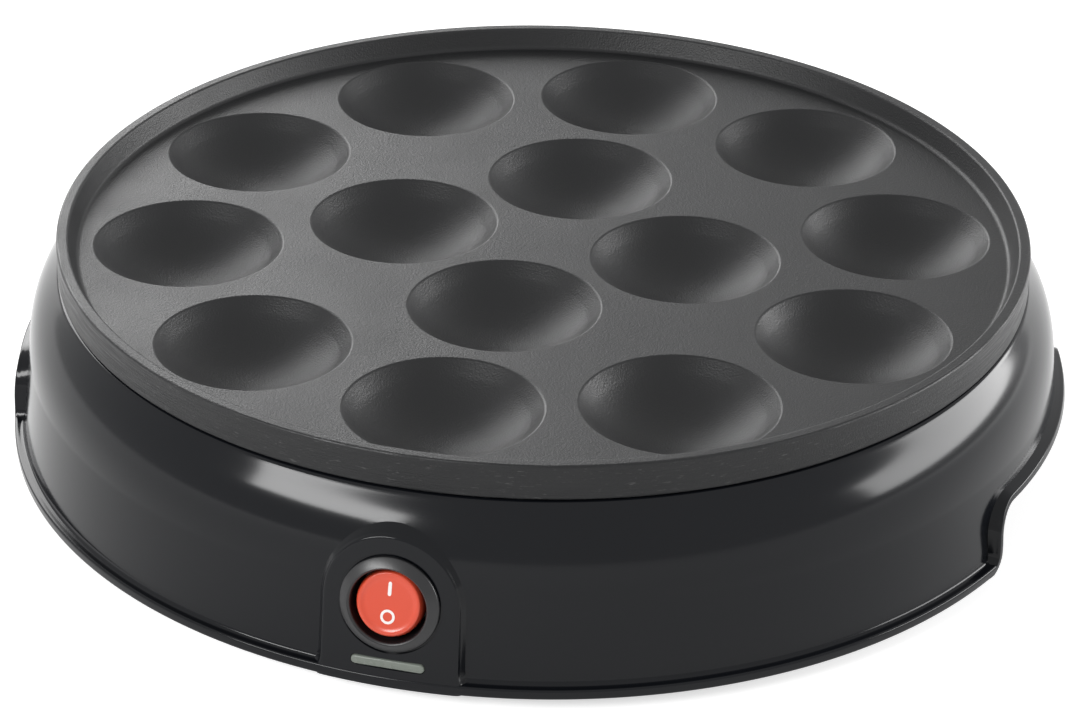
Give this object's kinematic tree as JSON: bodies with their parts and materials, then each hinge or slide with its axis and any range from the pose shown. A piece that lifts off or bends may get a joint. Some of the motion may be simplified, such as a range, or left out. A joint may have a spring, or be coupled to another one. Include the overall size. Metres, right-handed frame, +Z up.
{
  "type": "electric poffertjes maker",
  "caption": "Round tabletop appliance with a shallow dark cast plate of hemispherical wells on a glossy black skirted housing with a red rocker switch, an indicator bar and finger grips.",
  "frame": {"origin": "on the table, under the middle of the appliance's bounding box", "axes": "+Z up; the switch panel faces -Y; the finger grips are at +X and -X; the cord gland is at +Y"},
  "size_m": [0.259, 0.2636, 0.0567],
  "materials": {
    "plate_coating": "dark non-stick coating, satin",
    "housing_gloss": "high gloss black",
    "base_matte": "matte black",
    "steel": "zinc plated",
    "sheath": "dull grey heater sheath",
    "shield": "bright sheet",
    "brass": "plain",
    "ceramic": "white ceramic or moulded insulator",
    "rocker_red": "translucent red, glossy",
    "lens": "pale grey-green, unlit",
    "lamp_glass": "clear",
    "rubber": "matte",
    "lead_red": "heat-proof sleeve",
    "lead_blue": "heat-proof sleeve",
    "lead_green": "green and yellow sleeve"
  },
  "bodies": {
    "maker": {"baking_plate": "plate_coating", "heater_ring": "sheath", "heater_bush_left": "ceramic", "heater_pin_left": "steel", "heater_bush_right": "ceramic", "heater_pin_right": "steel", "housing": "housing_gloss", "base_tray": "base_matte", "heat_shield": "shield", "switch_body": "housing_gloss", "switch_blade_1": "brass", "switch_blade_2": "brass", "switch_blade_3": "brass", "indicator_lens": "lens", "indicator_lamp": "lamp_glass", "lamp_holder": "base_matte", "thermostat": "ceramic", "thermostat_blade_1": "brass", "thermostat_blade_2": "brass", "thermostat_strap": "steel", "strap_screw_1": "steel", "strap_screw_2": "steel", "thermal_fuse": "ceramic", "fuse_clip": "steel", "fuse_rivet_1": "steel", "fuse_rivet_2": "steel", "earth_tag": "brass", "earth_screw": "steel", "terminal_block": "ceramic", "lead_live": "lead_red", "lead_lamp": "lead_blue", "lead_earth": "lead_green", "lead_neutral": "lead_blue", "lead_switched": "lead_red", "lead_to_fuse": "lead_red", "lead_from_fuse": "lead_red", "lamp_lead_right": "base_matte", "lamp_lead_left": "base_matte", "cord_gland": "rubber", "plate_screw_1": "steel", "plate_screw_2": "steel", "plate_screw_3": "steel", "plate_screw_4": "steel", "base_screw_1": "steel", "base_screw_2": "steel", "base_screw_3": "steel", "base_screw_4": "steel", "foot_1": "rubber", "foot_2": "rubber", "foot_3": "rubber", "foot_4": "rubber"},
    "rocker": {"switch_rocker": "rocker_red"}
  },
  "joints": [
    {"name": "rocker_hinge", "type": "hinge", "parent": "maker", "child": "rocker", "pos_m": [0, -0.12652, 0.024], "axis": [1, 0, 0], "range_deg": [0, 20]}
  ]
}
